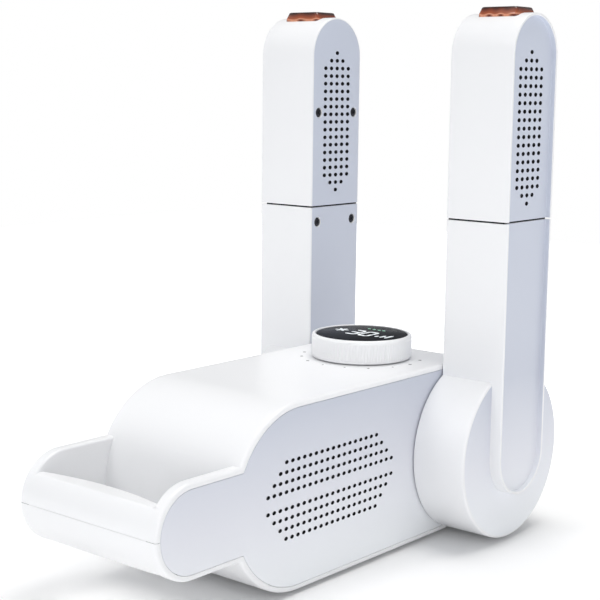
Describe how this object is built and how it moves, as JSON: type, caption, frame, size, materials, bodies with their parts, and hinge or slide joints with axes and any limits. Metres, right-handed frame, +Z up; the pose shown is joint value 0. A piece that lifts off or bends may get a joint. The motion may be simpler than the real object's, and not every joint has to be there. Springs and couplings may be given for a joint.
{
  "type": "boot dryer",
  "caption": "Low rounded blower housing with a nose handle and a top dial, and two upright drum-hinged arms with perforated sliding heads that blow warm air into boots.",
  "frame": {"origin": "on the floor, under the middle of the object's length and width", "axes": "+X towards the side of the right_ nodes, +Y from the nose handle to the arms, +Z up"},
  "size_m": [0.18, 0.3, 0.3035],
  "materials": {
    "white_plastic": "smooth satin-gloss white",
    "pale_grey_plastic": "fine matt pale blue-grey",
    "dark_plastic": "matt near-black",
    "black_glossy": "polished black window",
    "rubber": "matt black rubber",
    "amber": "glossy amber lens",
    "steel": "plated steel",
    "board": "green circuit board with its components",
    "inner_plastic": "heat-resistant mid-grey plastic",
    "motor_steel": "drawn motor can"
  },
  "bodies": {
    "housing": {"upper_shell": "white_plastic", "lower_shell": "white_plastic", "right_side_panel": "pale_grey_plastic", "left_side_panel": "pale_grey_plastic", "blower_housing": "inner_plastic", "blower_motor": "motor_steel", "motor_bracket": "steel", "heater_frame": "inner_plastic", "heater_element": "steel", "air_manifold": "inner_plastic", "control_board": "board", "mains_inlet": "dark_plastic", "knob_carrier": "inner_plastic", "button_spring": "steel", "display_board": "board", "foot_front_right": "rubber", "foot_front_left": "rubber", "foot_back_right": "rubber", "foot_back_left": "rubber", "case_screw_1": "steel", "case_screw_2": "steel", "case_screw_3": "steel", "case_screw_4": "steel", "right_hinge_spigot": "inner_plastic", "right_hinge_retainer": "steel", "left_hinge_spigot": "inner_plastic", "left_hinge_retainer": "steel"},
    "fan": {"blower_impeller": "dark_plastic", "motor_shaft": "steel"},
    "knob": {"knob_ring": "white_plastic"},
    "display_button": {"display_lens": "black_glossy", "display_carrier": "inner_plastic"},
    "right_arm": {"right_arm_base": "white_plastic", "right_arm_base_cover": "pale_grey_plastic", "right_arm_base_screw_1": "steel", "right_arm_base_screw_2": "steel", "right_hinge_seal": "rubber", "right_extension_guide": "inner_plastic"},
    "right_head": {"right_arm_head": "white_plastic", "right_arm_head_cover": "pale_grey_plastic", "right_arm_head_screw_1": "steel", "right_arm_head_screw_2": "steel", "right_extension_sleeve": "inner_plastic", "right_lamp_lens": "amber", "right_lamp_board": "board"},
    "left_arm": {"left_arm_base": "white_plastic", "left_arm_base_cover": "pale_grey_plastic", "left_arm_base_screw_1": "steel", "left_arm_base_screw_2": "steel", "left_hinge_seal": "rubber", "left_extension_guide": "inner_plastic"},
    "left_head": {"left_arm_head": "white_plastic", "left_arm_head_cover": "pale_grey_plastic", "left_arm_head_screw_1": "steel", "left_arm_head_screw_2": "steel", "left_extension_sleeve": "inner_plastic", "left_lamp_lens": "amber", "left_lamp_board": "board"}
  },
  "joints": [
    {"name": "fan_spin", "type": "hinge", "parent": "housing", "child": "fan", "pos_m": [0, -0.021, 0.052], "axis": [1, 0, 0], "continuous": true},
    {"name": "knob_turn", "type": "hinge", "parent": "housing", "child": "knob", "pos_m": [0, 0.065, 0.108], "axis": [0, 0, 1], "continuous": true},
    {"name": "display_press", "type": "slide", "parent": "housing", "child": "display_button", "axis": [0, 0, -1], "range_m": [0, 0.0008], "stiffness_N_per_m": 300, "springref_m": -0.004},
    {"name": "right_arm_fold", "type": "hinge", "parent": "housing", "child": "right_arm", "pos_m": [0, 0.1, 0.052], "axis": [1, 0, 0], "range_deg": [-30, 90]},
    {"name": "right_head_extend", "type": "slide", "parent": "right_arm", "child": "right_head", "axis": [0, 0, 1], "range_m": [0, 0.045]},
    {"name": "left_arm_fold", "type": "hinge", "parent": "housing", "child": "left_arm", "pos_m": [0, 0.1, 0.052], "axis": [1, 0, 0], "range_deg": [-30, 90]},
    {"name": "left_head_extend", "type": "slide", "parent": "left_arm", "child": "left_head", "axis": [0, 0, 1], "range_m": [0, 0.045]}
  ]
}
